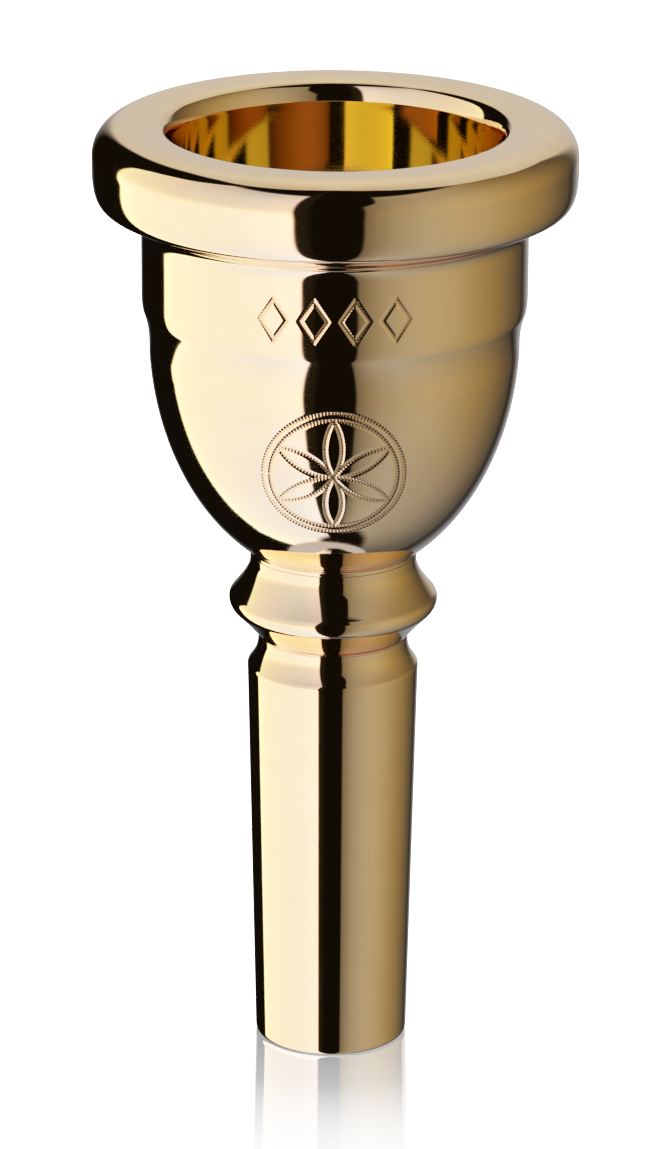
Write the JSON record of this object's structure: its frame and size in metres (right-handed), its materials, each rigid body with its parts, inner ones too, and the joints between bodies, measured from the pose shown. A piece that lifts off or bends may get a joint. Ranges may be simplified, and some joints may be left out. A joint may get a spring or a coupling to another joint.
{
  "type": "brass mouthpiece",
  "caption": "Large-shank low brass mouthpiece with a rounded rim, deep bowl, turned collar and tapered shank; the rim and the cup unscrew.",
  "frame": {"origin": "centre of the shank's open tip, the lowest point when the mouthpiece stands on its tip", "axes": "+Z along the axis from the shank's tip to the rim; -Y is the side with the engraved ornament"},
  "size_m": [0.0383, 0.0382, 0.0771],
  "materials": {
    "gold_plate": "mirror polished gold plate over turned brass",
    "seal_rubber": "matte moulded rubber"
  },
  "bodies": {
    "shank": {"shank": "gold_plate", "collar_ring": "gold_plate"},
    "shank_seal": {"shank_seal": "seal_rubber"},
    "cup": {"cup": "gold_plate"},
    "rim_seal": {"rim_seal": "seal_rubber"},
    "rim": {"rim": "gold_plate"}
  },
  "joints": [
    {"name": "cup_lift", "type": "slide", "parent": "shank", "child": "shank_seal", "axis": [0, 0, 1], "range_m": [0, 0.00451]},
    {"name": "cup_turn", "type": "hinge", "parent": "shank_seal", "child": "cup", "pos_m": [0, 0, 0.0457], "axis": [0, 0, 1], "range_deg": [0, 1620]},
    {"name": "rim_lift", "type": "slide", "parent": "cup", "child": "rim_seal", "axis": [0, 0, 1], "range_m": [0, 0.00451]},
    {"name": "rim_turn", "type": "hinge", "parent": "rim_seal", "child": "rim", "pos_m": [0, 0, 0.0665], "axis": [0, 0, 1], "range_deg": [0, 1620]}
  ],
  "couplings": [
    {"joint": "cup_lift", "follows": "cup_turn", "m_per_rad": 0.00015915},
    {"joint": "rim_lift", "follows": "rim_turn", "m_per_rad": 0.00015915}
  ]
}
